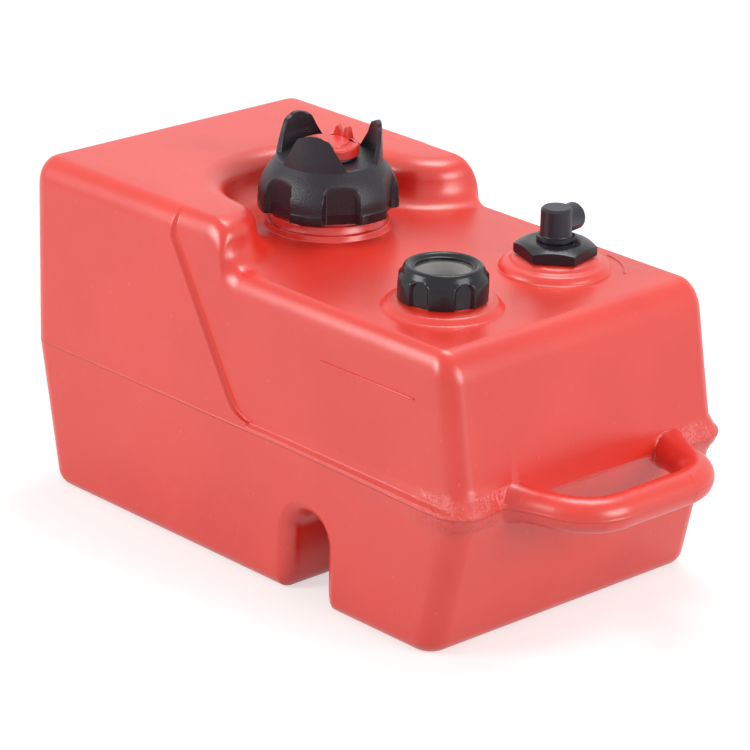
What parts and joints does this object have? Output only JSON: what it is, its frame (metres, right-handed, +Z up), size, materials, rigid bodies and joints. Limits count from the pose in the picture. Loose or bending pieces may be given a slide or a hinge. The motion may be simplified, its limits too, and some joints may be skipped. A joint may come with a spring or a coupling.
{
  "type": "portable outboard fuel tank",
  "caption": "Portable red outboard fuel tank with a winged black fill cap, a float gauge, a swivelling hose elbow and a tube handle.",
  "frame": {"origin": "floor plane, under the middle of the whole object's box, on the tank's middle line", "axes": "+X from the rear block towards the handle, +Y towards the withdrawal fitting's side, +Z up"},
  "size_m": [0.4511, 0.23, 0.2545],
  "materials": {
    "tank_red": "satin",
    "cap_black": "fine matte texture",
    "knob_red": "satin",
    "inner_plastic": "natural acetal",
    "tube_plastic": "natural polyethylene",
    "seal_rubber": "nitrile",
    "gauge_glass": "clear, slightly grey",
    "dial_grey": "printed card grey",
    "pointer_orange": "matte",
    "ribbon_metal": "rolled",
    "spring_steel": "stainless",
    "float_black": "closed-cell nitrile foam"
  },
  "bodies": {
    "tank": {"tank_shell": "tank_red", "gauge_collar": "cap_black", "gauge_lens": "gauge_glass", "gauge_head": "inner_plastic", "gauge_gasket": "seal_rubber", "gauge_dial": "dial_grey", "gauge_guides": "ribbon_metal", "gauge_foot": "inner_plastic", "pickup_nut": "cap_black", "pickup_bush": "inner_plastic", "pickup_gasket": "seal_rubber"},
    "cap": {"fill_cap": "cap_black", "cap_liner": "inner_plastic", "cap_gasket": "seal_rubber", "vent_spring": "spring_steel"},
    "vent_dial": {"vent_knob": "knob_red"},
    "poppet": {"vent_poppet": "inner_plastic", "vent_seal": "seal_rubber"},
    "float": {"gauge_float": "float_black"},
    "pointer": {"gauge_ribbon": "ribbon_metal", "gauge_pointer": "pointer_orange"},
    "elbow": {"pickup_elbow": "cap_black", "elbow_oring": "seal_rubber", "elbow_clip": "spring_steel", "dip_tube": "tube_plastic", "pickup_screen": "inner_plastic"}
  },
  "joints": [
    {"name": "cap_lift", "type": "slide", "parent": "tank", "child": "cap", "axis": [0, 0, 1], "range_m": [0, 0.06]},
    {"name": "vent_turn", "type": "hinge", "parent": "cap", "child": "vent_dial", "pos_m": [-0.068, 0, 0.236], "axis": [0, 0, 1], "range_deg": [0, 90]},
    {"name": "vent_press", "type": "slide", "parent": "cap", "child": "poppet", "axis": [0, 0, -1], "range_m": [0, 0.002], "deforming": ["vent_spring"]},
    {"name": "float_rise", "type": "slide", "parent": "tank", "child": "float", "axis": [0, 0, 1], "range_m": [0, 0.12]},
    {"name": "pointer_turn", "type": "hinge", "parent": "tank", "child": "pointer", "pos_m": [0.0865, -0.049, 0.2], "axis": [0, 0, 1], "range_deg": [-270, 0]},
    {"name": "elbow_swivel", "type": "hinge", "parent": "tank", "child": "elbow", "pos_m": [0.0805, 0.05, 0.21], "axis": [0, 0, 1], "continuous": true}
  ],
  "couplings": [
    {"joint": "vent_press", "follows": "vent_turn", "m_per_rad": 0.0012732},
    {"joint": "pointer_turn", "follows": "float_rise", "rad_per_m": -39.27}
  ]
}
